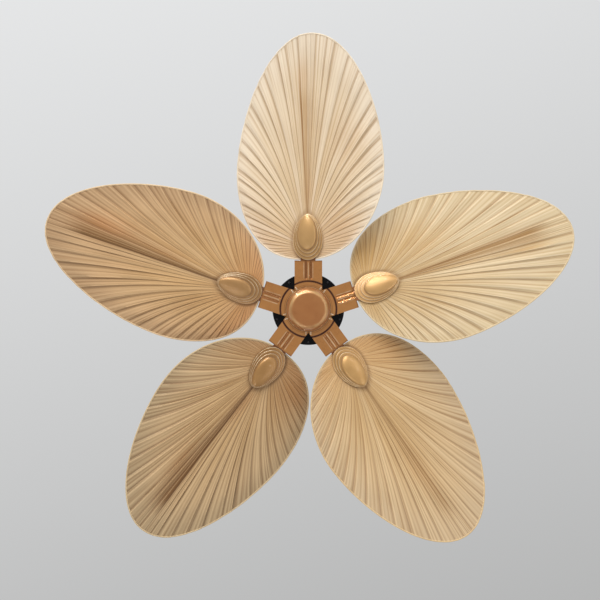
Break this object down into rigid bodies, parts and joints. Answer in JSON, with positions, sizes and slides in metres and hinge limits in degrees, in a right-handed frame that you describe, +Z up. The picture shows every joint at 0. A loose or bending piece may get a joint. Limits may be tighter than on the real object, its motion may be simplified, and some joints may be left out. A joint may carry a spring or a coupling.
{
  "type": "ceiling fan",
  "caption": "Ceiling fan with pleated palm-leaf blades on flat gold arms, hung on a short downrod from a ball hanger under a bowl canopy.",
  "frame": {"origin": "centre of the hanger bracket's top face, in the plane of the ceiling, on the axis that the blades turn about", "axes": "+Z up, out of the bracket's face into the ceiling, so the fan hangs in -Z; +X along the line of the two outlet-box slots and the axis that the ball hanger tilts about; +Y along the blade whose nodes end in _1"},
  "size_m": [1.2636, 1.2136, 0.3061],
  "materials": {
    "zinc_steel": "zinc plated, satin",
    "steel": "ground and oiled steel",
    "lamination_steel": "stacked electrical steel, matte",
    "gold_paint": "antique gold paint, satin",
    "light_gold_paint": "light gold paint, satin",
    "black_gloss_paint": "gloss black paint",
    "black_casting": "die cast, gloss black paint",
    "copper_wire": "enamelled copper wire",
    "palm_leaf": "dried pleated palm leaf, matte",
    "palm_hem": "stitched strip of pale fibre, matte",
    "white_plastic": "matte",
    "dark_plastic": "matte",
    "lead_insulation": "flexible lead insulation, satin"
  },
  "bodies": {
    "mount": {"hanger_bracket": "zinc_steel", "canopy": "gold_paint", "canopy_screws": "gold_paint", "canopy_trim_ring": "gold_paint"},
    "hanging": {"hanger_ball": "steel", "ball_cross_pin": "steel", "ball_set_screw": "steel", "downrod": "gold_paint", "lead_connector": "white_plastic", "supply_leads": "lead_insulation", "yoke": "zinc_steel", "yoke_clevis_pin": "steel", "cotter_pin": "steel", "yoke_set_screws": "steel", "coupling_cover": "gold_paint", "upper_housing": "gold_paint", "housing_screws": "zinc_steel", "capacitor": "dark_plastic", "motor_shaft": "steel", "shaft_circlip": "steel", "stator_core": "lamination_steel", "stator_windings": "copper_wire"},
    "rotor": {"upper_bearing": "steel", "lower_bearing": "steel", "rotor_can": "black_casting", "rotor_cage": "lamination_steel", "rotor_flange": "black_gloss_paint", "shell_screws": "steel", "arm_screws": "zinc_steel", "leaf_screws": "zinc_steel", "cap_plate": "zinc_steel", "cap_plate_screws": "zinc_steel", "centre_dome": "gold_paint", "blade_arm_1": "gold_paint", "blade_arm_2": "gold_paint", "blade_arm_3": "gold_paint", "blade_arm_4": "gold_paint", "blade_arm_5": "gold_paint", "leaf_1": "palm_leaf", "leaf_2": "palm_leaf", "leaf_3": "palm_leaf", "leaf_4": "palm_leaf", "leaf_5": "palm_leaf", "edge_binding_1": "palm_hem", "edge_binding_2": "palm_hem", "edge_binding_3": "palm_hem", "edge_binding_4": "palm_hem", "edge_binding_5": "palm_hem", "backing_plate_1": "zinc_steel", "backing_plate_2": "zinc_steel", "backing_plate_3": "zinc_steel", "backing_plate_4": "zinc_steel", "backing_plate_5": "zinc_steel", "medallion_1": "light_gold_paint", "medallion_2": "light_gold_paint", "medallion_3": "light_gold_paint", "medallion_4": "light_gold_paint", "medallion_5": "light_gold_paint"}
  },
  "joints": [
    {"name": "hanger_tilt", "type": "hinge", "parent": "mount", "child": "hanging", "pos_m": [0, 0, -0.04], "axis": [1, 0, 0], "range_deg": [-10, 10]},
    {"name": "rotor_spin", "type": "hinge", "parent": "hanging", "child": "rotor", "pos_m": [0, 0, -0.235], "axis": [0, 0, 1], "continuous": true}
  ]
}
